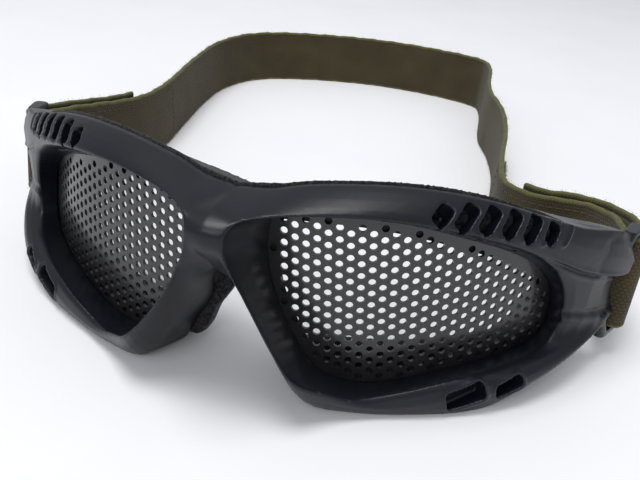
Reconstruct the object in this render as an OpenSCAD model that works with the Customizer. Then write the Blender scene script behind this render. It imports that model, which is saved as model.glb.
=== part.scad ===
// Low-profile wraparound goggles: a moulded frame with two perforated steel lenses,
// foam behind it and an elastic head strap. Millimetres, +Z up, the wearer's side is +Y.
// The goggles lean back on their lower edge, as they stand on a table.

/* [Frame] */
// Radius of the frame's front in plan
face_r = 77; // [72:1:84]
// Distance of that circle's centre behind the origin
face_y = 62; // [58:1:66]
// How far the goggles lean back on a table, in degrees
lean = 8.5; // [4:0.5:12]
// Width of the bridge between the two openings, at the front
bridge_w = 6.8; // [6:0.2:9]
// Length of a lens opening along the wrap
eye_w = 71.8; // [66:0.2:76]
// Height of a lens opening
eye_h = 37.4; // [34:0.2:41]
// Height of the chin band under the opening
chin_h = 4.5; // [4:0.1:6]
// Height of the brow band over the opening, at the top of its arch
brow_h = 4.7; // [4:0.1:6]
// Length of the temple from the opening's end to the frame's end
temple_w = 15.8; // [13:0.2:20]
// Height of the nose cut-out
nose_h = 29.6; // [26:0.2:31]
// How far the ridge at the bridge stands forward of the wrap
ridge = 7.2; // [5:0.1:8]
// Crown of the band's front face
crown = 1.1; // [0.6:0.1:1.6]
// Height of the step under the temple block
step = 2.2; // [1.2:0.1:3]

/* [Vents] */
// Number of slots in each upper vent
vent_n = 6; // [4:1:7]
// Width of an upper slot
vent_w = 2.9; // [2:0.1:3.2]
// Height of an upper slot
vent_h = 6.2; // [4.6:0.1:6.6]
// Spacing of the upper slots
vent_pitch = 4.9; // [4.2:0.1:5.2]
// Slant of the upper slots in degrees
vent_slant = 39; // [15:1:42]
// Length of the larger lower vent
pill_l = 8.2; // [6:0.1:9]
// Height of the lower vents
pill_h = 4.5; // [3:0.1:4.8]

/* [Lens] */
// Radius of the lens in plan
lens_r = 77; // [72:1:84]
// Sideways place of the lens's centre of curvature
lens_x = 3.9; // [2:0.1:5]
// Distance of that centre behind the origin
lens_y = 74; // [71:0.5:77]
// Thickness of the steel
lens_t = 0.7; // [0.5:0.1:1]
// How far the lens reaches past the opening, all round
lens_lip = 1; // [0.8:0.1:1.3]
// Diameter of a perforation
hole_d = 1.5; // [1.2:0.1:1.7]
// Spacing of the perforations
hole_pitch = 2.5; // [2.3:0.1:3]
// Turn of the perforation rows on the right lens in degrees
hole_turn = 7; // [0:1:12]
// Turn of the rows on the left lens in degrees
hole_turn_left = -2; // [-6:1:6]
// Thickness of the retaining ring behind the lens
ring_t = 1.6; // [1.2:0.1:2.2]
// Width of the retaining ring
ring_w = 3.2; // [2.6:0.1:4]

/* [Foam] */
// Thickness of the face foam
foam_t = 5; // [3:0.2:7]
// Width of the cheek foam
foam_w = 7; // [5:0.2:8]

/* [Strap] */
// Width of the webbing
strap_w = 22; // [19:1:23]
// Thickness of the webbing
strap_t = 1.4; // [1:0.1:1.8]
// Diameter of the bar that the webbing turns round
bar_d = 3; // [2.6:0.1:3.4]
// Length of the turned-back tail
tail_l = 42; // [30:1:55]
// How far the loop of strap reaches behind the origin
strap_reach = 212; // [195:1:220]
// Width of the loop of strap where it is folded loosely behind
strap_girth = 119; // [110:1:125]

/* [Hidden] */

// Clearance of a piece in its seat
seat_gap = 0.25;
// Depth of plastic behind the front face of the lens
rear_t = lens_t + ring_t + 3 * seat_gap + 0.8;
// Direction in which a lens opening faces, in degrees from straight ahead
eye_turn = 30;

// Stations round a lens opening, and points that round each outline between two rows
rows = 25;
fine = 4;

// A point at arc length s along the wrap, height z and radius r from the wrap's axis
function turn(s) = s / face_r * 180 / PI;
function pos(s, z, r) = [r * sin(turn(s)), face_y - r * cos(turn(s)), z];

// Radius from the wrap's axis to the front face of the lens
function lens_rad(s) =
    let (b = (lens_y - face_y) * cos(turn(s)) - lens_x * sin(turn(s)),
         c = lens_x * lens_x + (lens_y - face_y) * (lens_y - face_y))
    sqrt(b * b - c + lens_r * lens_r) - b;

// Places along and across the opening, from its nose end and its sill
function es(u) = bridge_w / 2 + u * eye_w;
function ez(v) = chin_h + v * eye_h;
temple_s = es(1) + temple_w;

// Smooth closed curve through a list of points
function mid(a, b, c, d, t) = 0.5 * (2 * b + t * (c - a) + t * t * (2 * a - 5 * b + 4 * c - d)
    + t * t * t * (3 * b - a - 3 * c + d));
function closed(p, n) = [for (i = [0 : len(p) * n - 1])
    let (k = floor(i / n), t = i / n - k, m = len(p))
    mid(p[(k + m - 1) % m], p[k], p[(k + 1) % m], p[(k + 2) % m], t)];
// Front rim of the opening, clockwise from its top nose corner:
// [along, up, forward of the wrap, share of the ridge, drift of the wall along, and up]
rim = [
    [0.011, 0.928, 0.1, 0.85, 3.2, -2.2], [0.031, 0.952, 0.0, 0.72, 2.8, -2.6],
    [0.068, 0.965, 0.0, 0.46, 2.2, -2.9],
    [0.162, 0.984, 0.1, 0.10, 1.8, -3.1], [0.315, 1.000, -0.3, 0, 1.2, -3.3],
    [0.482, 0.981, -0.2, 0, 0.7, -3.3], [0.635, 0.928, 0.0, 0, 0.5, -3.1],
    [0.767, 0.858, 0.2, 0, 0.6, -2.6], [0.879, 0.751, 0.3, 0, 1.4, -1.7],
    [0.958, 0.607, 0.4, 0, 2.3, -0.7], [0.997, 0.441, 0.3, 0, 2.6, 0],
    [0.993, 0.291, -0.2, 0, 2.3, -0.6], [0.921, 0.219, -0.6, 0, 1.5, -1.6],
    [0.788, 0.168, -1.0, 0, 1.0, -2.2], [0.635, 0.126, -0.9, 0, 1.0, -2.9],
    [0.496, 0.059, -1.3, 0, 1.0, -2.9], [0.370, 0.003, -1.7, 0, 0.4, -1.9],
    [0.266, 0.067, 0.0, 0.12, 0.6, -2.9], [0.181, 0.163, 0.2, 0.53, 1.8, -3.0],
    [0.116, 0.332, 0.1, 0.50, 1.3, -3.1], [0.063, 0.511, 0.2, 0.56, 1.2, -3.5],
    [0.019, 0.690, 0.0, 0.85, 1.9, -3.7], [0.002, 0.783, 0.0, 0.97, 2.4, -3.4],
    [0.000, 0.837, 0.0, 1, 2.7, -2.9], [0.000, 0.885, 0.0, 1, 3.0, -2.4]];

// Outer edge of the band at the same stations: [s, z, forward of the wrap]
plane = -0.4;
edge = [
    [plane, ez(0.972), 0.5 * ridge], [plane, ez(1) + 0.08 * brow_h, -4.6],
    [es(0.05), ez(1) + 0.26 * brow_h, -5.2],
    [es(0.16), ez(1) + 0.64 * brow_h, -6], [es(0.33), ez(1) + 0.94 * brow_h, -6],
    [es(0.50), ez(1) + brow_h, -5], [es(0.66), ez(1) + 0.76 * brow_h, -3.5],
    [es(0.82), ez(1) + 0.24 * brow_h, -1.5], [es(0.98), ez(0.955), 1],
    [temple_s - 1.6, ez(0.875), 4.2], [temple_s - 0.2, ez(0.62), 3.2],
    [temple_s + 0.6, ez(0.470), 3.4], [temple_s + 0.9, ez(0.350), 4.6],
    [es(1) + 0.3 * temple_w, ez(0.227), 4.2], [es(0.87), ez(0.075), 3],
    [es(0.745), 0.3 * chin_h, 0], [es(0.565), -0.5, -3], [es(0.37), -1.25, -5],
    [es(0.225), 0.7, -4.5], [es(0.142), 0.284 * nose_h, -4.4], [es(0.084), 0.52 * nose_h, -4.4],
    [es(0.033), 0.777 * nose_h, -3.5], [plane, nose_h, 2], [plane, nose_h + 4.4, ridge - 0.4],
    [plane, ez(0.90), ridge + 0.5]];

// Back of the outer wall: the same places, drawn in round the nose, and a thin temple
temple_t = 3.2;
nose_back = [[es(0.20), 0.35], [es(0.117), 0.304 * nose_h], [es(0.067), 0.50 * nose_h],
    [es(0.028), 0.76 * nose_h], [plane, 0.93 * nose_h]];
back = [for (k = [0 : rows - 1])
    let (e = edge[k], full = lens_rad(e[0]) - rear_t)
    k >= 18 && k <= 22 ? concat(nose_back[k - 18], [full])
    : k >= 9 && k <= 12 ? [e[0] - 0.5, e[1], face_r + max(e[2], 2) - temple_t]
    : [e[0], e[1], full]];

rim_at = [for (r = rim) [es(r[0]), ez(r[1]), face_r + r[2] + r[3] * ridge]];
seat_at = [for (r = rim) [es(r[0]) + r[4], ez(r[1]) + r[5]]];
seat_fine = closed(seat_at, fine);

// One cross-section of the band, from the lens seat over the rim to the back
function lift(p, q, t, out) = let (a = p + (q - p) * t) [a[0], a[1], a[2] + out];
function section(c, a, o, b) =
    let (front = lens_rad(c[0]) - 0.6, rear = lens_rad(c[0]) - rear_t,
         c1 = [c[0], c[1], front],
         soft = crown * min(1, norm([o[0] - a[0], o[1] - a[1]]) / 5) * min(1, 0.15 + (o[0] - plane) / 6))
    [[c[0], c[1], rear], c1, lift(c1, a, 0.5, 0), lift(c1, a, 0.9, 0), lift(a, o, 0.02, 0),
     lift(a, o, 0.12, soft * 0.55), lift(a, o, 0.35, soft), lift(a, o, 0.62, soft),
     lift(a, o, 0.86, soft * 0.55), o, lift(o, b, 0.12, 0), lift(o, b, 0.55, 0), b,
     let (h = [c[0], c[1]] + ([b[0], b[1]] - [c[0], c[1]]) * 0.55) [h[0], h[1], lens_rad(h[0]) - rear_t]];
across = 14;

// Points of a curve, none of them past the middle plane
function beyond(p) = [for (q = p) [max(q[0], plane), q[1], q[2]]];

// Band round the right eye, lofted through its cross-sections
module eye_band() {
    a = closed(rim_at, fine);
    c = closed(seat_at, fine);
    o = beyond(closed([for (e = edge) [e[0], e[1], face_r + e[2]]], fine));
    b = beyond(closed(back, fine));
    n = len(a);
    ring = [for (i = [0 : n - 1]) for (q = section(c[i], a[i], o[i], b[i])) pos(q[0], q[1], q[2])];
    faces = [for (i = [0 : n - 1]) for (j = [0 : across - 1])
        let (p0 = i * across + j, p1 = i * across + (j + 1) % across,
             q0 = (i + 1) % n * across + j, q1 = (i + 1) % n * across + (j + 1) % across)
        each [[p0, p1, q1], [p0, q1, q0]]];
    polyhedron(ring, faces);
}

// Everything on the frame leans back about its lower front edge
lean_y = 5;
module leaning() translate([0, -lean_y, 0]) rotate([-lean, 0, 0]) translate([0, lean_y, 0]) children();
function leaned(p) = [p[0], (p[1] + lean_y) * cos(lean) + p[2] * sin(lean) - lean_y,
    p[2] * cos(lean) - (p[1] + lean_y) * sin(lean)];
module both() { children(); mirror([1, 0, 0]) children(); }
module side(right) mirror([right ? 0 : 1, 0, 0]) children();

// A closed solid through rings of points, each ring with as many points as the first
module skin(rings) {
    m = len(rings[0]);
    n = len(rings);
    walls = [for (i = [0 : n - 2]) for (j = [0 : m - 1])
        let (a = i * m + j, b = i * m + (j + 1) % m)
        each [[a, b, b + m], [a, b + m, a + m]]];
    ends = [[for (j = [m - 1 : -1 : 0]) j], [for (j = [0 : m - 1]) (n - 1) * m + j]];
    polyhedron([for (r = rings) each r], concat(walls, ends));
}

// Outline of the lens seat in the direction that the opening faces: [across, up]
top_z = ez(1) + brow_h;
seat_line = [for (c = closed(seat_at, 3))
    let (p = pos(c[0], c[1], lens_rad(c[0]))) [p[0] * cos(eye_turn) + p[1] * sin(eye_turn), p[2]]];
function grown(p, d) = [for (i = [0 : len(p) - 1])
    let (m = len(p), t = p[(i + 1) % m] - p[(i + m - 1) % m]) p[i] + d * [-t[1], t[0]] / norm(t)];
module towards_eye() rotate([0, 0, eye_turn]) rotate([90, 0, 0]) translate([0, 0, -12])
    linear_extrude(60) children();
module seat_prism(grow) towards_eye() polygon(grown(seat_line, grow));
// Everything higher than h over the table, seen from the frame's own upright position
module above_table(h) translate([0, -lean_y, 0]) rotate([lean, 0, 0]) translate([-100, -60, h])
    cube([200, 160, 90]);
module lens_round(r) translate([lens_x, lens_y, -5]) cylinder(r = r, h = top_z + 10, $fn = 172);

// Block that stands proud of the temple, over a stepped crease
module temple_block() {
    rings = [for (t = [0 : 0.125 : 1])
        let (s = es(1) + 0.6 + t * (temple_w - 0.8), r = face_r + 0.6 + pow(t, 0.6) * (3 + step),
             low = ez(0.645) - 0.4 * t, high = ez(0.948) - 1.6 * t - 3.5 * t * t * t * t)
        [pos(s, low, r - 4), pos(s, low, r - 0.5), pos(s, low + 0.5, r), pos(s, (low + high) / 2, r + 0.4),
         pos(s, high - 2.4, r), pos(s, high - 0.6, r - 0.9), pos(s, high, r - 3.2), pos(s, high, r - 4)]];
    skin(rings);
}

// Bar behind the temple's end, held between two lugs, for the strap to turn round
temple_end = pos(temple_s, 0, face_r + 5.2);
bar_at = [temple_end[0] + 0.9, temple_end[1] + 6.2, ez(0.545)];
lug_gap = strap_w / 2 + 0.4;
lug_t = 1.4;
module strap_post() translate(bar_at) {
    cylinder(d = bar_d, h = 2 * (lug_gap + 1), center = true, $fn = 24);
    arm = [[0, 0, 0, bar_d + 0.6], [-2.4, -6, 0, bar_d - 0.2], [-3.9, -8.2, 5, bar_d - 0.4]];
    for (k = [-1, 1]) for (i = [0, 1]) hull() for (a = [arm[i], arm[i + 1]])
        translate([a[0], a[1], k * (lug_gap + lug_t / 2 - a[2])])
            cylinder(d = a[3], h = lug_t, center = true, $fn = 20);
}

// A slot with rounded corners, cut towards the wrap's axis and down by a slope in degrees
slot_r = 0.95;
module slot(s, z, r, w, h, slant, slope, deep)
    translate([0, face_y, 0]) rotate([0, 0, turn(s)]) translate([0, -r, z])
        rotate([-slope - 90, 0, 0]) rotate([0, 0, slant]) translate([0, 0, -4])
            hull() for (j = [-1, 1]) for (k = [-1, 1])
                translate([j * (w / 2 - slot_r), k * (h / 2 - slot_r), 0])
                    cylinder(r = slot_r, h = deep + 4, $fn = 12);

// Channel behind the brow's crest for the brow foam: [s, lower edge, upper edge, front radius]
wall = 1.2;
edge_fine = closed([for (e = edge) [e[0], e[1], face_r + e[2]]], fine);
crest = [for (i = [fine : 9 * fine]) edge_fine[i]];
function crest_z(s) = lookup(s, [for (e = crest) [e[0], e[1]]]);
function crest_r(s) = lookup(s, [for (e = crest) [e[0], e[2]]]);
function brow_at(s, z) = [s, z, crest_z(s), crest_r(s) - 1.6];
brow_line = concat([brow_at(0, ez(0.915))], [for (i = [fine + 3 : 8 * fine])
    let (p = seat_fine[i], t = seat_fine[i + 1] - seat_fine[i - 1], n = [-t[1], t[0]] / norm(t),
         q = p + n * (lens_lip + seat_gap + wall)) brow_at(q[0], q[1])]);
function brow_ring(b, front, low, top, rear, x) = [
    for (q = [[top, front], [top, rear], [low, rear], [low, front]])
    let (p = pos(b[0], q[0], q[1])) [p[0] * x, p[1], p[2]]];
module brow_channel() {
    n = len(brow_line) - 1;
    skin(concat(
        [for (i = [n : -1 : 1]) let (b = brow_line[i]) brow_ring(b, b[3], b[1], top_z + 9, 45, -1)],
        [for (i = [0 : n]) let (b = brow_line[i]) brow_ring(b, b[3], b[1], top_z + 9, 45, 1)]));
}

// Moulded frame: two bands joined at the bridge, with lens pockets, vents and strap bars
vent_s = es(0.842) - vent_pitch * (vent_n - 1);
module frame() color([0.13, 0.13, 0.15]) intersection() {
    leaning() difference() {
        union() {
            both() intersection() {
                eye_band();
                translate([0, -60, -10]) cube([100, 140, 90]);
            }
            both() temple_block();
            both() strap_post();
        }
        brow_channel();
        both() intersection() {
            seat_prism(lens_lip + seat_gap);
            lens_round(lens_r + seat_gap / 2);
            above_table(1);
        }
        both() for (k = [0 : vent_n - 1])
            let (t = k / (vent_n - 1), mid_band = ez(1.03 - 0.125 * t * t),
                 h = k == 0 || k == vent_n - 1 ? vent_h - 1.6 : vent_h)
            slot(vent_s + k * vent_pitch, mid_band, face_r - 2, vent_w, h, vent_slant, 40, 4.4);
        both() slot(es(0.672), ez(0.04) - 0.15, face_r - 1, pill_h, pill_l, 70, 0, 1);
        both() slot(es(0.8), ez(0.095) - 0.35, face_r, pill_h - 1.2, pill_l - 1.7, 70, 0, 0.6);
    }
    translate([-100, -60, 0]) cube([200, 140, 90]);
}

// Perforated steel lens, rolled to one radius and cut to the seat
function inside(p, line) = len([for (i = [0 : len(line) - 1])
    let (a = line[i], b = line[(i + 1) % len(line)])
    if ((a[1] > p[1]) != (b[1] > p[1])
        && p[0] < a[0] + (b[0] - a[0]) * (p[1] - a[1]) / (b[1] - a[1])) 1]) % 2 == 1;
hole_rows = ceil(eye_h / hole_pitch / 2) + 3;
hole_cols = ceil(eye_w / hole_pitch / 2) + 3;
land = hole_d / 2 + 0.3;
module lens_shape(rows_turn) {
    clear_line = grown(seat_line, -land);
    difference() {
        intersection() {
            difference() {
                lens_round(lens_r);
                translate([0, 0, -1]) scale([1, 1, 1.1]) lens_round(lens_r - lens_t);
            }
            seat_prism(lens_lip);
            above_table(1 + seat_gap);
        }
        for (i = [-hole_cols : hole_cols]) for (j = [-hole_rows : hole_rows])
            let (c = i * hole_pitch * sqrt(3) / 2, r = (j + abs(i) % 2 / 2) * hole_pitch,
                 u = c * cos(rows_turn) - r * sin(rows_turn),
                 v = c * sin(rows_turn) + r * cos(rows_turn) + ez(0.45),
                 a = eye_turn + (u - 2) / lens_r * 180 / PI,
                 x = lens_x + lens_r * sin(a), y = lens_y - lens_r * cos(a))
            if (inside([x * cos(eye_turn) + y * sin(eye_turn), v], clear_line))
                translate([x, y, v]) rotate([90, 0, a]) cylinder(d = hole_d, h = 3, center = true, $fn = 16);
    }
}
module lens_right() color([0.05, 0.05, 0.06]) leaning() lens_shape(hole_turn);
module lens_left() color([0.05, 0.05, 0.06]) leaning() side(false) lens_shape(hole_turn_left);

// Ring that clips in behind a lens and keeps it in its seat
module ring_shape() difference() {
    intersection() {
        difference() {
            lens_round(lens_r - lens_t - seat_gap);
            translate([0, 0, -1]) scale([1, 1, 1.1]) lens_round(lens_r - lens_t - seat_gap - ring_t);
        }
        seat_prism(lens_lip);
        above_table(1 + seat_gap);
    }
    towards_eye() offset(delta = lens_lip - ring_w) polygon(seat_line);
}
module lens_ring_right() color([0.2, 0.2, 0.22]) leaning() ring_shape();
module lens_ring_left() color([0.2, 0.2, 0.22]) leaning() side(false) ring_shape();

// Face foam: a crowned pad that follows the lens seat behind the frame, clear of the table
foam_gap = 0.3;
foam_form = [[1, 0], [1.02, 0.4], [0.85, 0.78], [0.5, 0.97], [0, 1.03], [-0.5, 0.97],
    [-0.85, 0.78], [-1.02, 0.4], [-1, 0]];
back_fine = closed([for (b = back) [b[0], b[1]]], fine);
function table_z(s) =
    (face_y - (lens_rad(s) - rear_t - foam_t) * cos(turn(s)) + lean_y) * tan(lean) + foam_gap;
function pad_at(i) =
    let (m = len(seat_fine), p = seat_fine[i % m], t = seat_fine[(i + 1) % m] - seat_fine[(i + m - 1) % m],
         n = [-t[1], t[0]] / norm(t), half = min(foam_w, norm(back_fine[i % m] - p) + 0.6) / 2,
         c = p + n * (half + 0.4))
    [c[0], max(c[1], table_z(c[0]) + half), n[0], n[1], half];
function pad_ring(c, k, x = 1) = [for (q = foam_form)
    let (w = c[4] * q[0] * k, p = pos(c[0] + c[2] * w, c[1] + c[3] * w,
        lens_rad(c[0]) - rear_t - foam_gap - q[1] * foam_t * k)) [p[0] * x, p[1], p[2]]];
module cheek_foam() {
    list = [for (i = [10 * fine + 1 : 21 * fine]) pad_at(i)];
    n = len(list) - 1;
    skin([for (i = [0 : n]) pad_ring(list[i], i == 0 || i == n ? 0.72 : 1)]);
}
// Brow foam: a deep pad in the channel behind the crest, from temple to temple
brow_form = [[1, 0], [0.91, 0.08], [0.62, 0.3], [0.36, 0.56], [0.2, 0.8], [0.1, 1], [0, 0.92], [0, 0]];
function brow_pad(b, k, x) =
    let (low = b[1] + foam_gap, top = b[2] + 0.7, front = b[3] - foam_gap,
         h = (top - low) * k, c = (top + low) / 2,
         deep = (front - (lens_rad(b[0]) - rear_t - foam_gap - foam_t)) * k)
    [for (q = brow_form)
        let (p = pos(b[0], c + (q[0] - 0.5) * h, front - q[1] * deep)) [p[0] * x, p[1], p[2]]];
module brow_foam() color([0.16, 0.16, 0.16]) leaning() {
    n = len(brow_line) - 2;
    skin(concat([for (i = [n : -1 : 1]) brow_pad(brow_line[i], i == n ? 0.8 : 1, -1)],
        [for (i = [0 : n]) brow_pad(brow_line[i], i == n ? 0.8 : 1, 1)]));
}
module cheek_foam_right() color([0.16, 0.16, 0.16]) leaning() cheek_foam();
module cheek_foam_left() color([0.16, 0.16, 0.16]) leaning() side(false) cheek_foam();

// Strap route from the right bar round the back to the left bar: [x, y, centre height, lean]
fold_r = bar_d / 2 + seat_gap + strap_t / 2;
fold_front = 1.2;
fold_end = 2.2;
bar_w = leaned(bar_at);
flat_z = strap_w / 2 + 0.05;
function behind(x, d, side) = [side * bar_w[0] + x, bar_w[1] + d * cos(lean), bar_w[2] - d * sin(lean), 1];
route = [
    behind(-fold_r, 2.5, 1), behind(-fold_r - 0.5, 12, 1), [bar_w[0] - 9, bar_w[1] + 22.5, flat_z + 3, 0.6],
    [bar_w[0] - 21, bar_w[1] + 25, flat_z + 1, 0.2], [bar_w[0] - 30.5, bar_w[1] + 33, flat_z, 0],
    [bar_w[0] - 31.5, 92, flat_z, 0], [45, 124, flat_z, 0], [41, 146, flat_z, 0], [35, 162, flat_z, 0],
    [33.5, strap_reach - 14, flat_z, 0], [28, strap_reach - 1, flat_z, 0],
    [-14, strap_reach + 4, flat_z, 0], [-50, strap_reach - 6, flat_z, 0],
    [44 - strap_girth, strap_reach - 21, flat_z, 0], [37 - strap_girth, 168, flat_z, 0],
    [39 - strap_girth, 145, flat_z, 0], [44.5 - strap_girth, 115, flat_z, 0],
    [48 - strap_girth, 98, flat_z, 0], [-bar_w[0] + 7, bar_w[1] + 38, flat_z + 1, 0.2],
    behind(fold_r + 0.8, 12, -1), behind(fold_r, 2.5, -1)];
function cut(p) = concat([p[0]], [for (i = [0 : len(p) - 2]) each
    [p[i] * 0.75 + p[i + 1] * 0.25, p[i] * 0.25 + p[i + 1] * 0.75]], [p[len(p) - 1]]);
path = cut(cut(route));
function turned(p) = [for (i = [len(p) - 1 : -1 : 0]) p[i]];
function along(p, d, k = 0) = let (l = norm(p[k + 1] - p[k]))
    d <= l || k == len(p) - 2 ? p[k] + (p[k + 1] - p[k]) * d / l : along(p, d - l, k + 1);

// A strip of webbing along a path: out is its distance to the path's right-hand side
function strip_ring(p, i, out, t, w) =
    let (m = len(p) - 1, a = p[max(i - 1, 0)], b = p[min(i + 1, m)], c = p[i],
         d = [b[0] - a[0], b[1] - a[1]] / norm([b[0] - a[0], b[1] - a[1]]),
         up = [0, sin(lean) * c[3], cos(lean * c[3])])
    [for (q = [[-1, -0.9], [-0.6, -1], [0.6, -1], [1, -0.9], [1, 0.9], [0.6, 1], [-0.6, 1], [-1, 0.9]])
        [c[0] + d[1] * (out + q[0] * t / 2), c[1] - d[0] * (out + q[0] * t / 2), c[2]]
            + up * q[1] * w / 2];
module strip(p, out, t, w) skin([for (i = [0 : len(p) - 1]) strip_ring(p, i, out, t, w)]);

// Turn of the webbing round a bar, from its inner side over the front to its outer side
function fold() = [for (a = [0 : 15 : 180])
        let (u = -fold_r * cos(a), v = -fold_front - fold_r * sin(a))
        concat(leaned(bar_at + [u, v, 0]), [1])];
function mirrored(p) = [for (q = p) [-q[0], q[1], q[2], q[3]]];
function fold_path(end) = concat(fold(), [concat(leaned(bar_at + [fold_r, end, 0]), [1])]);
module strap_band() color([0.29, 0.27, 0.21])
    strip(concat(turned(fold_path(fold_end)), path, mirrored(fold_path(fold_end))), 0, strap_t, strap_w);

// Tail of the webbing outside the band, and the hook and loop patches between them
tail_out = 2 * fold_r;
patch_t = (tail_out - strap_t - 3 * foam_gap) / 2;
function tail_path(p, from, to) = [for (i = [0 : 20]) along(p, from + (to - from) * i / 20)];
patch_w = strap_w - 3;
module tail(p, k) strip(tail_path(p, 0, tail_l), k * tail_out, strap_t, strap_w);
module hook(p, k) strip(tail_path(p, 5, tail_l - 2), k * (tail_out - strap_t / 2 - foam_gap - patch_t / 2),
    patch_t, patch_w);
module loop(p, k) strip(tail_path(p, 5, tail_l + 22), k * (strap_t / 2 + foam_gap + patch_t / 2),
    patch_t, patch_w);
module strap_tail_right() color([0.29, 0.27, 0.21]) tail(path, 1);
module strap_tail_left() color([0.29, 0.27, 0.21]) tail(turned(path), -1);
module hook_patch_right() color([0.2, 0.2, 0.18]) hook(path, 1);
module hook_patch_left() color([0.2, 0.2, 0.18]) hook(turned(path), -1);
module loop_patch_right() color([0.25, 0.24, 0.2]) loop(path, 1);
module loop_patch_left() color([0.25, 0.24, 0.2]) loop(turned(path), -1);

frame();
lens_right();
lens_left();
lens_ring_right();
lens_ring_left();
brow_foam();
cheek_foam_right();
cheek_foam_left();
strap_band();
strap_tail_right();
strap_tail_left();
hook_patch_right();
hook_patch_left();
loop_patch_right();
loop_patch_left();
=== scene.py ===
"""Looks of the goggles: what each piece is made of and how its surface shows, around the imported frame.

The goggles stand on a pale table, leaning back on their lower edge, with the strap lying in a loop behind.
"""

import math

import bpy
import numpy as np
from mathutils import Matrix, Vector, noise


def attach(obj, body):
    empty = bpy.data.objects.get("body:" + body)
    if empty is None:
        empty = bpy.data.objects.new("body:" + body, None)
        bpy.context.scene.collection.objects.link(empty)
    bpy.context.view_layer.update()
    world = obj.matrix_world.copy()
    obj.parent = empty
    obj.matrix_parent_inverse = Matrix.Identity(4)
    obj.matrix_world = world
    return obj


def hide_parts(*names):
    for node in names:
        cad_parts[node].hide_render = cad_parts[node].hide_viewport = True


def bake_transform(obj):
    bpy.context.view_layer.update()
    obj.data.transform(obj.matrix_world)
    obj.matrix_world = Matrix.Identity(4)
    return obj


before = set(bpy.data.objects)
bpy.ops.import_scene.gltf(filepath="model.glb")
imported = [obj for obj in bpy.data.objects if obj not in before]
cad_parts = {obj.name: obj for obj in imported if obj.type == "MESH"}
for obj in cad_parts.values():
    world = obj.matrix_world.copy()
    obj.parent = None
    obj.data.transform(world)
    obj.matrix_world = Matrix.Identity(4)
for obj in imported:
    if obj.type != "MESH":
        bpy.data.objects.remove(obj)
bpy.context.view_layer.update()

# ---------------------------------------------------------------- Camera
# A compact camera, close in front of the goggles and above them, a little to the wearer's left.
# It is tilted, so that the goggles run downhill to the right, and leans with them over the table.
# Its pose comes from the goggles' mirror symmetry, first for upright goggles and then tipped with them.
yaw, pitch, roll = math.radians(13.92), math.radians(24.15), math.radians(7.35)
backward = Vector((math.sin(yaw) * math.cos(pitch), -math.cos(yaw) * math.cos(pitch), math.sin(pitch)))
level = Vector((math.cos(yaw), math.sin(yaw), 0))
upward = backward.cross(level)
across = math.cos(roll) * level + math.sin(roll) * upward
upward = math.cos(roll) * upward - math.sin(roll) * level
foot = Vector((0, -0.005, 0))
tip = Matrix.Rotation(math.radians(-6), 3, "X")
eye = tip @ (Vector((0.0431, -0.1127, 0.0845)) - foot) + foot
camera = bpy.data.objects.new("camera", bpy.data.cameras.new("camera"))
bpy.context.scene.collection.objects.link(camera)
turned = Matrix((tip @ across, tip @ upward, tip @ backward)).transposed().to_4x4()
camera.matrix_world = Matrix.Translation(eye) @ turned
camera.data.sensor_fit = "HORIZONTAL"
camera.data.sensor_width = 36
picture_width, focal_length = 640, 664.1  # both in pixels
camera.data.lens = focal_length / picture_width * 36
camera.data.shift_x, camera.data.shift_y = -1.0 / picture_width, 0.2 / picture_width
camera.data.clip_start, camera.data.clip_end = 0.001, 20
bpy.context.scene.camera = camera
bpy.context.scene.view_settings.view_transform = "Standard"


# ---------------------------------------------------------------- Table and light
# A white laminate table top that runs out of sight, under two soft lamps in a bright room.
# One hangs over the goggles, a little to the left, and one stands in for a window before them,
# so that their shadow is short and soft.
def linear(code):
    """A colour written as sRGB hex, in the linear values that the shader wants."""
    parts = [int(code[i : i + 2], 16) / 255 for i in (0, 2, 4)]
    return [p / 12.92 if p <= 0.04045 else ((p + 0.055) / 1.055) ** 2.4 for p in parts] + [1]


def add(tree, kind, sockets=None, **settings):
    """One node with its settings; a socket takes a number, a colour or another node's output."""
    made = tree.nodes.new(kind)
    for name, value in settings.items():
        setattr(made, name, value)
    for name, value in (sockets or {}).items():
        if isinstance(value, bpy.types.NodeSocket):
            tree.links.new(value, made.inputs[name])
        else:
            made.inputs[name].default_value = value
    return made


def material(name, **sockets):
    """A new material with one principled shader, whose plain values are given by socket name."""
    made = bpy.data.materials.new(name)
    made.use_nodes = True
    made.node_tree.nodes.clear()
    shader = add(made.node_tree, "ShaderNodeBsdfPrincipled", sockets)
    add(made.node_tree, "ShaderNodeOutputMaterial", {"Surface": shader.outputs[0]})
    return made, made.node_tree, shader


def speckle(tree, place, scale, detail, roughness=0.5):
    """Soft noise from 0 to 1, with so many waves to the metre."""
    sockets = {"Vector": place, "Scale": scale, "Detail": detail, "Roughness": roughness}
    return add(tree, "ShaderNodeTexNoise", sockets).outputs["Fac"]


def mixed(tree, share, low, high):
    """A colour between two, each an sRGB hex code or another node's colour."""
    low, high = (linear(end) if isinstance(end, str) else end for end in (low, high))
    mix = add(tree, "ShaderNodeMix", {"Factor": share, "A": low, "B": high}, data_type="RGBA")
    return mix.outputs["Result"]


def ranged(tree, value, low, high):
    """A value from 0 to 1, spread between two others."""
    return add(tree, "ShaderNodeMapRange", {"Value": value, "To Min": low, "To Max": high}).outputs[0]


def mesh_object(name, points, faces):
    """A new object in the scene with a mesh of its own."""
    mesh = bpy.data.meshes.new(name)
    mesh.from_pydata([tuple(p) for p in points], [], [tuple(f) for f in faces])
    mesh.update()
    made = bpy.data.objects.new(name, mesh)
    bpy.context.scene.collection.objects.link(made)
    return made


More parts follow.
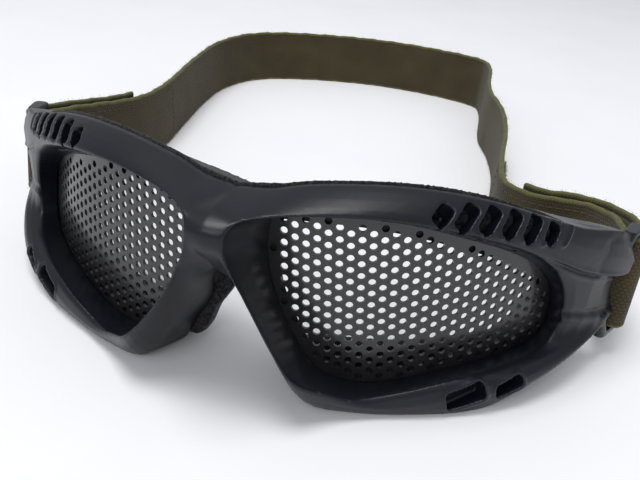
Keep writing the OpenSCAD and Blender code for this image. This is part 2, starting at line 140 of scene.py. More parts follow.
laminate, tree, shader = material("white_laminate", **{"Roughness": 0.6, "Specular IOR Level": 0.2})
place = add(tree, "ShaderNodeTexCoord").outputs["Object"]
mottle = speckle(tree, place, 18, 3)
tree.links.new(mixed(tree, mottle, "f3f3f6", "fbfbfd"), shader.inputs["Base Color"])
table_reach, table_drop = 3.0, 0.0001
corners = [(x * table_reach, y * table_reach, -table_drop) for x, y in ((-1, -1), (1, -1), (1, 1), (-1, 1))]
table = mesh_object("table_top", corners, [(0, 1, 2, 3)])
table.data.materials.append(laminate)

room = bpy.data.worlds.new("white_room")
bpy.context.scene.world = room
room.use_nodes = True
tree = room.node_tree
tree.nodes.clear()
rays = add(tree, "ShaderNodeLightPath").outputs
# The camera sees plain white; glossy surfaces mirror a dimmer room with a tenth of that white in it
mirrored = add(tree, "ShaderNodeMath", {0: rays["Is Glossy Ray"], 1: 0.1}, operation="MULTIPLY").outputs[0]
seen = add(tree, "ShaderNodeMath", {0: rays["Is Camera Ray"], 1: mirrored}, operation="MAXIMUM")
seen = add(tree, "ShaderNodeMath", {0: seen.outputs[0], 1: rays["Is Transmission Ray"]}, operation="MAXIMUM")
dim = add(tree, "ShaderNodeBackground", {"Color": linear("f4f6fb"), "Strength": 0.5})
white = add(tree, "ShaderNodeBackground", {"Color": linear("ffffff"), "Strength": 1.0})
both = add(tree, "ShaderNodeMixShader", {0: seen.outputs[0], 1: dim.outputs[0], 2: white.outputs[0]})
add(tree, "ShaderNodeOutputWorld", {"Surface": both.outputs[0]})


def lamp(name, power, size, place, aim):
    """A square soft box of so many watts, turned towards a place."""
    light = bpy.data.lights.new(name, "AREA")
    light.energy, light.size = power, size
    made = bpy.data.objects.new(name, light)
    bpy.context.scene.collection.objects.link(made)
    made.location = place
    made.rotation_euler = (Vector(aim) - Vector(place)).to_track_quat("-Z", "Y").to_euler()


lamp("ceiling_lamp", 5.6, 0.42, (-0.10, -0.04, 1.0), (0, 0.04, 0))
lamp("window_fill", 2.6, 0.5, (-0.1, -0.8, 0.78), (0, 0, 0.02))

# ---------------------------------------------------------------- Moulded frame
# One piece of flexible black plastic that carries the lenses, the foam and the strap bars.
# It comes out of the mould satin, with softly rounded edges and a fine spark-eroded grain.
frame_voxel, frame_smoothing, frame_limit = 0.0003, 5, 190000


def copy_of(node, name):
    """A copy of a solid's mesh as a new object, with its loose triangles merged."""
    made = bpy.data.objects.new(name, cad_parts[node].data.copy())
    bpy.context.scene.collection.objects.link(made)
    made.data.materials.clear()
    weld = made.modifiers.new("weld", "WELD")
    weld.merge_threshold = 1e-6
    return settle(made)


def settle(made):
    """Applies an object's modifiers to its mesh."""
    mesh = bpy.data.meshes.new_from_object(made.evaluated_get(bpy.context.evaluated_depsgraph_get()))
    mesh.name = made.name
    made.modifiers.clear()
    made.data = mesh
    return made


def numbers(items, name, width=3):
    """One value of every vertex or edge of a mesh, as a table."""
    table = np.empty(len(items) * width)
    items.foreach_get(name, table)
    return table.reshape(-1, width)


def rebuilt(made, voxel, rounds):
    """Rebuilds a closed mesh in even faces, rounds its edges and keeps its volume."""
    remesh = made.modifiers.new("even", "REMESH")
    remesh.mode, remesh.voxel_size = "VOXEL", voxel
    settle(made)
    points = numbers(made.data.vertices, "co")
    count = len(points)
    a, b = numbers(made.data.edges, "vertices", 2).astype(int).T
    shared = np.bincount(a, minlength=count) + np.bincount(b, minlength=count)
    for step in range(rounds * 2):
        total = [np.bincount(a, points[b, k], count) + np.bincount(b, points[a, k], count) for k in range(3)]
        points += (np.stack(total, 1) / shared[:, None] - points) * (0.55 if step % 2 == 0 else -0.5)
    made.data.vertices.foreach_set("co", points.ravel())
    made.data.update()
    made.data.shade_smooth()
    return made


def thinned(made, most):
    """Fewer triangles where the surface is nearly flat, with at most that many left."""
    thin = made.modifiers.new("thin", "DECIMATE")
    thin.ratio = min(1, most / sum(len(f.vertices) - 2 for f in made.data.polygons))
    settle(made)
    made.data.shade_smooth()
    return made


# Thermoplastic elastomer from a lightly grained mould: nearly black, with broad soft highlights.
satin, tree, shader = material("moulded_thermoplastic_satin", **{"IOR": 1.5, "Specular IOR Level": 0.36})
place = add(tree, "ShaderNodeTexCoord").outputs["Object"]
flow = speckle(tree, place, 55, 3, 0.55)
grain = speckle(tree, place, 4200, 2)
bent = add(tree, "ShaderNodeNewGeometry").outputs["Pointiness"]
# Edges that stand out are rubbed a little paler
rubbed = {"Value": bent, "From Min": 0.53, "From Max": 0.66, "To Min": 0.0, "To Max": 0.5}
edge = add(tree, "ShaderNodeMapRange", rubbed).outputs[0]
tone = mixed(tree, edge, mixed(tree, flow, "0a0b13", "12131d"), "383a48")
tree.links.new(tone, shader.inputs["Base Color"])
tree.links.new(ranged(tree, flow, 0.3, 0.42), shader.inputs["Roughness"])
relief = add(tree, "ShaderNodeBump", {"Height": grain, "Strength": 0.35, "Distance": 0.00005}).outputs[0]
sinks = {"Height": flow, "Strength": 0.3, "Distance": 0.0004, "Normal": relief}
tree.links.new(add(tree, "ShaderNodeBump", sinks).outputs[0], shader.inputs["Normal"])

wrap_r, wrap_y, lean = 77.0, 62.0, math.radians(8.5)
# Creases beside the right opening, as places along the wrap and up it, in millimetres
block_crease = [(62, 36), (66.5, 33.9), (74, 31), (79.5, 29.5), (86, 28.1), (93, 27)]
wing_crease = [(66, 16), (68, 18), (70.5, 20.6), (75, 20.8), (81, 20), (93, 19)]
# Slots in the band, in millimetres and degrees: place along and up, radius where the cut starts,
# width, length, slant and slope. First come the six vents, then the two pockets under the opening.
vent_start, vent_pitch, vent_count = 42.35, 4.9, 6
vent_long, vent_end_long = 6.2, 4.6
slots = []
for k in range(vent_count):
    up = 4.5 + 37.4 * (1.03 - 0.125 * (k / (vent_count - 1)) ** 2)
    long = vent_end_long if k in (0, vent_count - 1) else vent_long
    slots.append((vent_start + vent_pitch * k, up, 75, 2.9, long, 39, 40))
slots += [(51.65, 5.85, 76, 4.5, 8.2, 70, 0), (60.84, 7.7, 77, 3.3, 6.5, 70, 0)]
slot_corner, lip_height, lip_width, lip_place = 0.95, 0.26, 0.3, 0.32


def spun(angle, axis):
    """A turn about one axis, as a matrix for tables of points."""
    return np.array(Matrix.Rotation(angle, 3, axis))


def swell(distance, middle, width):
    """A soft round profile across a line."""
    return np.exp(-(((distance - middle) / width) ** 2))


def over_line(s, z, line):
    """How far each place lies above a line across the wrap."""
    line = np.array(line, float)
    return z - np.interp(s, line[:, 0], line[:, 1])


moulding = rebuilt(copy_of("frame", "moulded_frame"), frame_voxel, frame_smoothing)
# Each point in the goggles' own upright frame, folded to the right side, and how far it faces outwards
points, outward = numbers(moulding.data.vertices, "co") * 1000, numbers(moulding.data.vertices, "normal")
fold_side = np.where(points[:, :1] < 0, [[-1, 1, 1]], [[1, 1, 1]])
upright = (points * fold_side - [0, -5, 0]) @ spun(lean, "X").T + [0, -5, 0]
facing = outward * fold_side @ spun(lean, "X").T
angle = np.arctan2(upright[:, 0], wrap_y - upright[:, 1])
along, height, radius = angle * wrap_r, upright[:, 2], np.hypot(upright[:, 0], wrap_y - upright[:, 1])
front = facing[:, 0] * np.sin(angle) - facing[:, 1] * np.cos(angle)
shown = np.clip((front - 0.25) / 0.3, 0, 1) * (radius > wrap_r - 2)
# The groove under the temple block with its two light ridges, and the fold of the wing below it
over = over_line(along, height, block_crease)
fade = np.clip((along - 63) / 6, 0, 1)
rise = fade * (0.25 * swell(over, 0.85, 0.55) - 0.5 * swell(over, 0, 0.4) + 0.2 * swell(over, -0.85, 0.55))
over = over_line(along, height, wing_crease)
fade = np.clip((along - 67) / 3, 0, 1)
rise += fade * (0.35 * swell(over, -1.3, 1.0) - 0.3 * swell(over, 0.3, 0.7))
# A raised lip round each slot
for s, z, r, wide, long, slant, slope in slots:
    turned = spun(s / wrap_r, "Z") @ spun(math.radians(-slope - 90), "X") @ spun(math.radians(slant), "Z")
    centre = spun(s / wrap_r, "Z") @ np.array([0, -r, z]) + [0, wrap_y, 0]
    local = (upright - centre) @ turned
    corner = np.abs(local[:, :2]) - [wide / 2 - slot_corner, long / 2 - slot_corner]
    gap = np.linalg.norm(np.maximum(corner, 0), axis=1) + np.minimum(corner.max(1), 0) - slot_corner
    near = (np.abs(local[:, 2]) < 4) * np.clip(-facing @ turned[:, 2] * 2 - 0.6, 0, 1)
    rise = rise + near * lip_height * swell(gap, lip_place, lip_width)
points += outward * (rise * shown)[:, None]
moulding.data.vertices.foreach_set("co", (points / 1000).ravel())
moulding.data.update()
thinned(moulding, frame_limit)
moulding.data.materials.append(satin)
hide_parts("frame")
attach(moulding, "goggles")

# ---------------------------------------------------------------- Perforated lenses
# Two sheets of steel, punched with staggered round holes, rolled to a curve and coated black.
# The rings behind them hold them in their seats.

# Black enamel baked on steel: dark where it faces the eye, silvery where it is seen along its surface.
coated, tree, shader = material(
    "baked_black_enamel", **{"Specular IOR Level": 0.5, "Coat Weight": 0.7, "Coat Roughness": 0.16}
)
place = add(tree, "ShaderNodeTexCoord").outputs["Object"]
blotch = speckle(tree, place, 240, 4)
tree.links.new(mixed(tree, blotch, "0d0d0f", "1c1c1f"), shader.inputs["Base Color"])
tree.links.new(ranged(tree, blotch, 0.36, 0.55), shader.inputs["Roughness"])
fine = speckle(tree, place, 3000, 2)
relief = add(tree, "ShaderNodeBump", {"Height": fine, "Strength": 0.25, "Distance": 0.00003})
tree.links.new(relief.outputs[0], shader.inputs["Normal"])
for side in ("right", "left"):
    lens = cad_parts["lens_" + side]
    lens.data.materials.clear()
    lens.data.materials.append(coated)

# ---------------------------------------------------------------- Retaining rings
# Thin rings of black plastic that clip in behind the lenses and hold them in their seats.
# They are moulded in the same plastic as the frame, left a little duller where nobody looks.

# The frame's plastic from an unpolished mould.
dull, tree, shader = material("moulded_thermoplastic_dull", **{"IOR": 1.5, "Specular IOR Level": 0.4})
place = add(tree, "ShaderNodeTexCoord").outputs["Object"]
cloud = speckle(tree, place, 300, 3)
tree.links.new(mixed(tree, cloud, "131316", "1e1e22"), shader.inputs["Base Color"])
tree.links.new(ranged(tree, cloud, 0.5, 0.65), shader.inputs["Roughness"])
for side in ("right", "left"):
    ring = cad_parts["lens_ring_" + side]
    ring.data.materials.clear()
    ring.data.materials.append(dull)

# ---------------------------------------------------------------- Face foam
# Pads of black open-cell foam glued behind the frame, along the brow and under each eye.
# Cut foam shows its cells as fine pits, with painted shade darkening each pit and its walls lighter, and its
# edges are never sharp.
# All in metres, but for the rounds of smoothing and the droop, which is a share of the depth.
foam_voxel, foam_smoothing = 0.00035, 14
cell_size, cell_depth = 0.0007, 0.00007
brow_droop, brow_front_r = 0.1, 0.064

# Open-cell polyurethane foam, black and quite matt.
matt = {"Roughness": 0.95, "Specular IOR Level": 0.15, "Sheen Weight": 0.15, "Sheen Roughness": 0.6}
pores, tree, shader = material("open_cell_foam", **matt)
place = add(tree, "ShaderNodeTexCoord").outputs["Object"]
cells = add(tree, "ShaderNodeTexVoronoi", {"Vector": place, "Scale": 1 / cell_size}, feature="F1")
specks = speckle(tree, place, 1500, 2)
pit_relief_and_shade = add(tree, "ShaderNodeMath", {0: cells.outputs["Distance"], 1: specks}, operation="MULTIPLY").outputs[0]
# Painted shade: each cell is painted darker down in its pit, with random specks over it
tone = add(tree, "ShaderNodeValToRGB", {"Fac": pit_relief_and_shade})
tone.color_ramp.elements[0].position, tone.color_ramp.elements[0].color = 0.08, linear("0c0c0d")
tone.color_ramp.elements[1].position, tone.color_ramp.elements[1].color = 0.45, linear("3a3a3c")
tree.links.new(tone.outputs["Color"], shader.inputs["Base Color"])
relief = add(tree, "ShaderNodeBump", {"Height": pit_relief_and_shade, "Strength": 0.6, "Distance": 0.00012})
tree.links.new(relief.outputs[0], shader.inputs["Normal"])

foam_pieces = {
    "brow_pad": "brow_foam",
    "cheek_pad_right": "cheek_foam_right",
    "cheek_pad_left": "cheek_foam_left",
}
for name, node in foam_pieces.items():
    pad = rebuilt(copy_of(node, name), foam_voxel, foam_smoothing)
    points, outward = numbers(pad.data.vertices, "co"), numbers(pad.data.vertices, "normal")
    pits = np.array([noise.noise(Vector(p) / cell_size) for p in points]) - 0.35
    if name == "brow_pad":
        # The pad thins towards the forehead, where it bends down a little under its own spring
        depth = brow_front_r - np.hypot(points[:, 0], wrap_y * 0.001 - points[:, 1])
        points[:, 2] -= brow_droop * np.maximum(depth, 0)
    points += outward * (pits * cell_depth)[:, None]
    pad.data.vertices.foreach_set("co", points.ravel())
    pad.data.update()
    pad.data.materials.append(pores)
    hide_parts(node)
    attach(pad, "goggles")

# ---------------------------------------------------------------- Strap webbing
# One length of olive elastic webbing, 22 mm wide, that turns round a bar at each temple.
# It is woven over rubber threads, so fine ribs run across it, and its edges are a raised cord, painted
# lighter as a highlight of the lit edge.
mm = 0.001
strap_w, strap_t = 22.0, 1.4
bar_r, bar_gap = 1.5, 0.25
fold_r = bar_r + bar_gap + strap_t / 2
fold_front, fold_end = 1.2, 2.2
bar = (76.96, 40.24, 18.4)
flat_z = strap_w / 2 + 0.05
reach, girth = 212, 119
rib_pitch, cord_pitch, painted_highlight_w, cord_swell = 0.95, 0.8, 0.7, 0.06


def behind(x, d, side):
    """A place x beside the bar and d behind it, down the leaning frame."""
    return (side * bar[0] + x, bar[1] + d * math.cos(lean), bar[2] - d * math.sin(lean), 1)


# The strap's middle line in millimetres, from the right bar round the far end to the left bar.
# The last number of each place says how far the webbing leans there: 1 with the frame, 0 upright.
route = [
    behind(-fold_r, 2.5, 1),
    behind(-fold_r - 0.5, 12, 1),
    (bar[0] - 9, bar[1] + 22.5, flat_z + 3, 0.6),
    (bar[0] - 21, bar[1] + 25, flat_z + 1, 0.2),
    (bar[0] - 30.5, bar[1] + 33, flat_z, 0),
    (bar[0] - 31.5, 92, flat_z, 0),
    (45, 124, flat_z, 0),
    (41, 146, flat_z, 0),
    (35, 162, flat_z, 0),
    (33.5, reach - 14, flat_z, 0),
    (28, reach - 1, flat_z, 0),
    (-14, reach + 4, flat_z, 0),
    (-50, reach - 6, flat_z, 0),
    (44 - girth, reach - 21, flat_z, 0),
    (37 - girth, 168, flat_z, 0),
    (39 - girth, 145, flat_z, 0),
    (44.5 - girth, 115, flat_z, 0),
    (48 - girth, 98, flat_z, 0),
    (-bar[0] + 7, bar[1] + 38, flat_z + 1, 0.2),
    behind(fold_r + 0.8, 12, -1),
    behind(fold_r, 2.5, -1),
]


def corners_cut(line):
    """The line with each corner cut at a quarter of its two sides, which makes it rounder."""
    line = np.array(line, float)
    inner = np.empty((2 * len(line) - 2, line.shape[1]))
    inner[0::2] = line[:-1] * 0.75 + line[1:] * 0.25
    inner[1::2] = line[:-1] * 0.25 + line[1:] * 0.75
    return np.vstack([line[:1], inner, line[-1:]])


def spaced(line, step):
    """The same line with points at even distances."""
    gone = np.concatenate([[0], np.cumsum(np.linalg.norm(np.diff(line[:, :3], axis=0), axis=1))])
    at = np.linspace(0, gone[-1], max(2, round(gone[-1] / step) + 1))
    return np.stack([np.interp(at, gone, line[:, k]) for k in range(line.shape[1])], 1)


def beside(line, out):
    """The line moved sideways, to the right of the way it runs."""
    way = np.gradient(line[:, :2], axis=0)
    way /= np.linalg.norm(way, axis=1)[:, None]
    moved = line.copy()
    moved[:, 0] += way[:, 1] * out
    moved[:, 1] -= way[:, 0] * out
    return moved


def round_bar(side):
    """The turn of the webbing round a bar, from its inner side over the front to the outer side."""
    line = []
    for turn in range(0, 181, 10):
        a = math.radians(turn)
        u, v = -fold_r * math.cos(a), -fold_front - fold_r * math.sin(a)
        line.append((side * (bar[0] + u), bar[1] + v * math.cos(lean), bar[2] - v * math.sin(lean), 1))
    return line


def tape(name, line, width, thick, cord=0.0, step=1.1, wavy=0.0, start=0.0):
    """A strip of woven tape along a line in millimetres, with rounded edges and a map in millimetres."""
    line = spaced(np.array(line, float), step)
    way = np.gradient(line[:, :2], axis=0)
    way /= np.linalg.norm(way, axis=1)[:, None]
    half = width / 2
    # Half of the section: places across, from -1 to 1, and heights in half thicknesses, with the edge cord
    face = [(-1, 0.3), (-0.99, 0.72), (-0.965, 0.98), (-0.93, 1 + cord), (-0.89, 0.96), (-0.8, 0.98)]
    face += [(-0.6, 1), (-0.4, 1), (-0.2, 1), (0, 1)]
    face += [(-v, t) for v, t in reversed(face[:-1])]
    section = [(v, t) for v, t in face] + [(v, -t) for v, t in reversed(face)]
    points, marks = [], []
    run = start
    for i, p in enumerate(line):
        if i:
            run += float(np.linalg.norm(p[:3] - line[i - 1][:3]))
        # Elastic is never quite straight: its width and its edges wave a little
        ease = 1 + wavy * (0.4 * math.sin(run * 0.61) + 0.3 * math.sin(run * 1.37 + 1)) / half
        ripple = wavy * 0.5 * math.sin(run * 0.23 + 0.7)
        lift = (0, math.sin(lean) * p[3], math.cos(lean * p[3]))
        for v, t in section:
            out = t * thick / 2 + ripple * v * v * (0.6 if v > 0 else -0.4)
            up = v * half * ease
            points.append(
                (
                    (p[0] + way[i][1] * out) * mm,
                    (p[1] - way[i][0] * out + lift[1] * up) * mm,
                    (p[2] + lift[2] * up) * mm,
                )
            )
            marks.append((run, v * half))
    n = len(section)
    faces = []
    for i in range(len(line) - 1):
        for j in range(n):
            k = (j + 1) % n
            faces.append((i * n + j, (i + 1) * n + j, (i + 1) * n + k, i * n + k))
    faces.append(tuple(range(n)))
    faces.append(tuple((len(line) - 1) * n + j for j in reversed(range(n))))
    made = mesh_object(name, points, faces)
    chart = made.data.uv_layers.new(name="millimetres")
    for loop in made.data.loops:
        chart.data[loop.index].uv = marks[loop.vertex_index]
    made.data.shade_smooth()
    return made


# Polyester over rubber threads: small humps in offset rows, washed out in patches, with a painted highlight
# along both edges.
dry = {"Roughness": 0.9, "Specular IOR Level": 0.15, "Sheen Weight": 0.12, "Sheen Roughness": 0.5}
weave, weave_tree, shader = material("woven_olive_elastic", **dry)
chart = add(weave_tree, "ShaderNodeUVMap", uv_map="millimetres").outputs[0]
split = add(weave_tree, "ShaderNodeSeparateXYZ", {0: chart}).outputs


def reckon(operation, a, b=0.0):
    """One sum in the webbing's material."""
    return add(weave_tree, "ShaderNodeMath", {0: a, 1: b}, operation=operation).outputs[0]


row = reckon("FLOOR", reckon("DIVIDE", split["Y"], cord_pitch))
shift = reckon("MULTIPLY", reckon("MODULO", reckon("ABSOLUTE", row), 2.0), 0.5)
rib = reckon("ADD", reckon("DIVIDE", split["X"], rib_pitch), shift)
rib = reckon("ABSOLUTE", reckon("SINE", reckon("MULTIPLY", rib, math.pi)))
cord = reckon("ABSOLUTE", reckon("SINE", reckon("MULTIPLY", split["Y"], math.pi / cord_pitch)))
knit_relief_and_shade = reckon("POWER", reckon("MULTIPLY", rib, cord), 0.6)
# A painted highlight: both edge bands are painted lighter, where light catches the top edge of the webbing
painted_edge_highlight = reckon("GREATER_THAN", reckon("ABSOLUTE", split["Y"]), strap_w / 2 - painted_highlight_w)
place = add(weave_tree, "ShaderNodeTexCoord").outputs["Object"]
shade = speckle(weave_tree, place, 90, 4)
fuzz = speckle(weave_tree, place, 2600, 2)
# Painted shade: the dips between the humps are painted darker and the hump tops lighter
tone = mixed(weave_tree, knit_relief_and_shade, "2c271a", "4a422e")
wash = reckon("MULTIPLY", reckon("SUBTRACT", shade, 0.3), 0.9)
tone = mixed(weave_tree, painted_edge_highlight, mixed(weave_tree, wash, tone, "575038"), "5f6038")
weave_tree.links.new(tone, shader.inputs["Base Color"])
height = reckon("ADD", knit_relief_and_shade, reckon("MULTIPLY", fuzz, 0.5))
relief = add(weave_tree, "ShaderNodeBump", {"Height": height, "Strength": 0.7, "Distance": 0.00018})
weave_tree.links.new(relief.outputs[0], shader.inputs["Normal"])

full_path = np.array(route, float)
for cut in range(4):
    full_path = corners_cut(full_path)
turned_path = full_path[::-1].copy()
front_end = {1: round_bar(1)[0], -1: round_bar(-1)[0]}
band_line = np.vstack([[front_end[1]], full_path, [front_end[-1]]])
band = tape("strap_webbing", band_line, strap_w, strap_t, cord=cord_swell, wavy=0.25)
band.data.materials.append(weave)
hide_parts("strap_band")
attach(band, "strap")

# ---------------------------------------------------------------- Turned-back tails
# The ends of the same webbing, turned round the bars and pressed back on the strap.
# Each tail bends round its bar, between strap and tail.
tail_l = 42.0
tail_out = 2 * fold_r
sides = {"right": 1, "left": -1}
tail_lines = {}
for side, sign in sides.items():
    line = full_path if sign > 0 else turned_path
    gone = np.concatenate([[0], np.cumsum(np.linalg.norm(np.diff(line[:, :3], axis=0), axis=1))])
    flap = spaced(line[gone <= tail_l + 0.5], 0.8)
    outer = beside(flap, sign * tail_out)
    tail_lines[side] = line
    turn = round_bar(sign)
    ends = [behind(fold_r, 0.3, 1), behind(fold_r, fold_end - 0.8, 1)]
    turn += [(sign * e[0], e[1], e[2], e[3]) for e in ends]
    whole = np.vstack([turn, outer])
    tail = tape("tail_webbing_" + side, whole, strap_w, strap_t, cord=cord_swell, step=0.8, wavy=0.15)
    tail.data.materials.append(weave)
    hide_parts("strap_tail_" + side)
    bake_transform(tail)

# ---------------------------------------------------------------- Hook and loop tape
# A patch of hook tape under each tail, and a longer patch of loop tape on the strap facing it.
# Both are nylon tapes sewn down round their edges: stiff little hooks, and a fuzzy pile.
patch_w, patch_start = strap_w - 3, 5
fibre_w = patch_w - 1.2
tape_gap, base_t, stitch_w = 0.3, 0.55, 2.3
hook_out = tail_out - strap_t / 2 - tape_gap - base_t / 2
loop_out = strap_t / 2 + tape_gap + base_t / 2


def stretch(line, start, stop, step=0.8):
    """The part of a line between two distances from its start."""
    gone = np.concatenate([[0], np.cumsum(np.linalg.norm(np.diff(line[:, :3], axis=0), axis=1))])
    at = np.linspace(start, stop, max(3, round((stop - start) / step)))
    return np.stack([np.interp(at, gone, line[:, k]) for k in range(line.shape[1])], 1)


def tape_material(name, dark, light):
    """Nylon or polyester thread, a little uneven in colour."""
    made, tree, shader = material(name, **{"Roughness": 0.8, "Specular IOR Level": 0.3, "Sheen Weight": 0.2})
    place = add(tree, "ShaderNodeTexCoord").outputs["Object"]
    patchy = speckle(tree, place, 700, 3)
    tree.links.new(mixed(tree, patchy, dark, light), shader.inputs["Base Color"])
    relief = add(tree, "ShaderNodeBump", {"Height": patchy, "Strength": 0.5, "Distance": 0.0001})
    tree.links.new(relief.outputs[0], shader.inputs["Normal"])
    return made


# Hook tape is darker and stiffer, loop tape is paler, and the sewing thread is dark like the webbing.
hook_nylon = tape_material("nylon_hook_tape", "2a2d1c", "3d4029")
loop_nylon = tape_material("nylon_loop_tape", "454730", "6a6c48")
thread = tape_material("polyester_thread", "2e2d1e", "4b4a33")


def node_tree(name, sizes):
    """A geometry tree with a mesh in and out and one named input for each size."""
    made = bpy.data.node_groups.new(name, "GeometryNodeTree")
    made.interface.new_socket("Geometry", in_out="INPUT", socket_type="NodeSocketGeometry")
    for label, kind in sizes.items():
        made.interface.new_socket(label, in_out="INPUT", socket_type="NodeSocket" + kind)
    made.interface.new_socket("Geometry", in_out="OUTPUT", socket_type="NodeSocketGeometry")
    return made, add(made, "NodeGroupInput").outputs


def close_tree(tree, instances, finish):
    """Ends a geometry tree with real meshes in one material."""
    real = add(tree, "GeometryNodeRealizeInstances", {"Geometry": instances})
    coat = add(tree, "GeometryNodeSetMaterial", {"Geometry": real.outputs[0], "Material": finish})
    add(tree, "NodeGroupOutput", {0: coat.outputs[0]})


def carried(name, carrier, tree, sizes):
    """The mesh that a tree makes on a carrier, which takes the carrier's place as a plain object."""
    live = carrier.modifiers.new("tree", "NODES")
    live.node_group = tree
    for item in tree.interface.items_tree:
        if item.item_type == "SOCKET" and item.in_out == "INPUT" and item.name in sizes:
            live[item.identifier] = sizes[item.name]
    made = settle(carrier)
    made.name = made.data.name = name
    made.data.shade_smooth()
    return made


# A row of stitches is a line of long beads of thread.
stitch_tree, given = node_tree("stitch_rows", {"Spacing": "Float", "Length": "Float", "Thread": "Float"})
curve = add(stitch_tree, "GeometryNodeMeshToCurve", {0: given["Geometry"]})
evenly = {"Curve": curve.outputs[0], "Length": given["Spacing"]}
dots = add(stitch_tree, "GeometryNodeResampleCurve", evenly, mode="LENGTH")
along = add(stitch_tree, "GeometryNodeInputTangent")
facing = add(stitch_tree, "FunctionNodeAlignRotationToVector", {"Vector": along.outputs[0]}, axis="X")
size = add(stitch_tree, "ShaderNodeCombineXYZ", {0: given["Length"], 1: given["Thread"], 2: given["Thread"]})
bead = add(stitch_tree, "GeometryNodeMeshUVSphere", {"Segments": 8, "Rings": 5, "Radius": 0.5})
rows = add(
    stitch_tree,
    "GeometryNodeInstanceOnPoints",
    {
        "Points": dots.outputs[0],
        "Instance": bead.outputs[0],
        "Rotation": facing.outputs[0],
        "Scale": size.outputs[0],
    },
)
close_tree(stitch_tree, rows.outputs[0], thread)

fibre_sizes = {"Density": "Float", "Length": "Float", "Thickness": "Float", "Spread": "Float", "Seed": "Int"}


def fibre_tree(name, finish):
    """Short curved fibres standing out of a surface, at random."""
    made, given = node_tree(name, fibre_sizes)
    dots = add(
        made,
        "GeometryNodeDistributePointsOnFaces",
        {"Mesh": given["Geometry"], "Density": given["Density"], "Seed": given["Seed"]},
    )
    reach_up = add(made, "ShaderNodeCombineXYZ", {2: given["Length"]})
    bow = add(made, "ShaderNodeMath", {0: given["Length"], 1: 0.45}, operation="MULTIPLY")
    elbow = add(made, "ShaderNodeCombineXYZ", {0: bow.outputs[0], 2: bow.outputs[0]})
    hair = add(
        made,
        "GeometryNodeCurveQuadraticBezier",
        {"Resolution": 4, "Start": (0, 0, 0), "Middle": elbow.outputs[0], "End": reach_up.outputs[0]},
    )
    round_sizes = {"Resolution": 3, "Radius": given["Thickness"]}
    round_section = add(made, "GeometryNodeCurvePrimitiveCircle", round_sizes)
    strand = add(
        made,
        "GeometryNodeCurveToMesh",
        {"Curve": hair.outputs[0], "Profile Curve": round_section.outputs[0], "Fill Caps": True},
    )
    low = add(made, "ShaderNodeMath", {0: given["Spread"], 1: -1.0}, operation="MULTIPLY")
    least = add(made, "ShaderNodeCombineXYZ", {0: low.outputs[0], 1: low.outputs[0], 2: -3.1})
    most = add(made, "ShaderNodeCombineXYZ", {0: given["Spread"], 1: given["Spread"], 2: 3.1})
    any_turn = add(
        made,
        "FunctionNodeRandomValue",
        {0: least.outputs[0], 1: most.outputs[0], "Seed": given["Seed"]},
        data_type="FLOAT_VECTOR",
    )
    twist = add(made, "FunctionNodeEulerToRotation", {0: any_turn.outputs[0]})
    stand = add(
        made,
        "FunctionNodeRotateRotation",
        {"Rotation": dots.outputs["Rotation"], "Rotate By": twist.outputs[0]},
        rotation_space="LOCAL",
    )
    # Each fibre has between 45% and all of the full length
    share = add(made, "FunctionNodeRandomValue", {"Seed": given["Seed"]}, data_type="FLOAT")
    share.inputs[2].default_value, share.inputs[3].default_value = 0.45, 1.0
    placed = add(
        made,
        "GeometryNodeInstanceOnPoints",
        {
            "Points": dots.outputs["Points"],
            "Instance": strand.outputs[0],
            "Rotation": stand.outputs[0],
            "Scale": share.outputs[1],
        },
    )
    close_tree(made, placed.outputs[0], finish)
    return made


pile_tree = fibre_tree("loop_pile", loop_nylon)
hook_tree = fibre_tree("hook_bristles", hook_nylon)
fluff_tree = fibre_tree("webbing_fluff", weave)


def off_middle(p, up):
    """A place so far up the strip from a point of its middle line, in metres."""
    return (p[0] * mm, (p[1] + math.sin(lean) * p[3] * up) * mm, (p[2] + math.cos(lean * p[3]) * up) * mm)


def sheet_along(name, line, out, width):
    """An open surface along a line, facing away from it, to grow fibres on."""
    line = beside(line, out)
    points = [off_middle(p, up) for p in line for up in (-width / 2, width / 2)]
    faces = [(2 * i, 2 * i + 2, 2 * i + 3, 2 * i + 1) for i in range(len(line) - 1)]
    return mesh_object(name, points, faces)


def sewn(name, line, out, width, spacing):
    """A rectangle of stitches along a line, just inside the edges of a patch."""
    line = beside(line, out)
    loop = [off_middle(p, -width / 2) for p in line] + [off_middle(p, width / 2) for p in line[::-1]]
    mesh = bpy.data.meshes.new(name)
    mesh.from_pydata(loop, [(i, (i + 1) % len(loop)) for i in range(len(loop))], [])
    made = bpy.data.objects.new(name, mesh)
    bpy.context.scene.collection.objects.link(made)
    sizes = {"Spacing": spacing * mm, "Length": spacing * 0.78 * mm, "Thread": 0.32 * mm}
    return carried(name, made, stitch_tree, sizes)


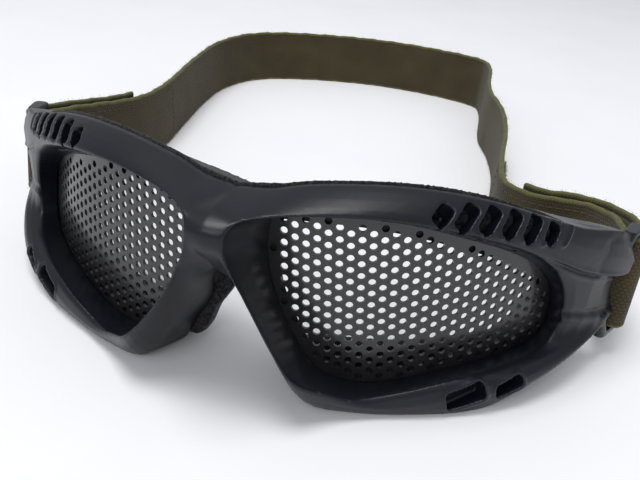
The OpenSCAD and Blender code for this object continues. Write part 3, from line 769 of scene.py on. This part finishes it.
hook_fibres = {"Density": 1.1e6, "Length": 0.75 * mm, "Thickness": 0.07 * mm, "Spread": 0.25, "Seed": 11}
pile_fibres = {"Density": 1.6e6, "Length": 0.85 * mm, "Thickness": 0.045 * mm, "Spread": 0.9, "Seed": 23}
for side, sign in sides.items():
    line = tail_lines[side]
    hook_line = stretch(line, patch_start, tail_l - 2)
    loop_line = stretch(line, patch_start, tail_l + 22)
    hook = tape("hook_tape_" + side, beside(hook_line, sign * hook_out), patch_w, base_t)
    hook.data.materials.append(hook_nylon)
    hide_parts("hook_patch_" + side)
    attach(hook, "tail_" + side)
    loop = tape("loop_tape_" + side, beside(loop_line, sign * loop_out), patch_w, base_t)
    loop.data.materials.append(loop_nylon)
    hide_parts("loop_patch_" + side)
    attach(loop, "strap")

    # The hooks face the strap and the pile faces the tail
    ground = sheet_along("hooks_" + side, hook_line[::-sign], base_t / 2 - hook_out, fibre_w)
    bristles = carried("hooks_" + side, ground, hook_tree, hook_fibres)
    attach(bristles, "tail_" + side)
    ground = sheet_along("pile_" + side, loop_line[::sign], loop_out + base_t / 2, fibre_w)
    pile = carried("pile_" + side, ground, pile_tree, pile_fibres)
    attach(pile, "strap")

    seam_w, proud = patch_w - 2.4, strap_t / 2 + 0.02
    seam = stretch(line, patch_start + 1, tail_l - 3, 1.5)
    rows = sewn("tail_stitches_" + side, seam, sign * (tail_out + proud), seam_w, stitch_w)
    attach(rows, "tail_" + side)
    seam = stretch(line, patch_start + 1, tail_l + 21, 1.5)
    rows = sewn("strap_stitches_" + side, seam, -sign * proud, seam_w, stitch_w)
    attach(rows, "strap")

# ---------------------------------------------------------------- Loose fibres
# Worn elastic sheds short polyester fibres along its two edges, over the whole loop and both tails.
# They grow out of the webbing's own edge faces, bend at random and are attached to the strap's or the tail's
# body.
edge_strip = 0.6
fluff_fibres = {"Density": 1.6e6, "Length": 1.2 * mm, "Thickness": 0.02 * mm, "Spread": 1.1, "Seed": 5}
fluff_edges = {"strap": "strap_webbing", "tail_right": "tail_webbing_right", "tail_left": "tail_webbing_left"}
for body, source in fluff_edges.items():
    mesh = bpy.data.objects[source].data
    chart = mesh.uv_layers["millimetres"].data
    keep = []
    for face in mesh.polygons:
        inmost = min(abs(chart[k].uv.y) for k in face.loop_indices)
        if len(face.vertices) == 4 and inmost > strap_w / 2 - edge_strip:
            keep.append(face)
    used = sorted({v for face in keep for v in face.vertices})
    number = {v: i for i, v in enumerate(used)}
    places = [mesh.vertices[v].co for v in used]
    rim = mesh_object("fluff_" + body, places, [[number[v] for v in face.vertices] for face in keep])
    fluff = carried("fluff_" + body, rim, fluff_tree, fluff_fibres)
    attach(fluff, body)
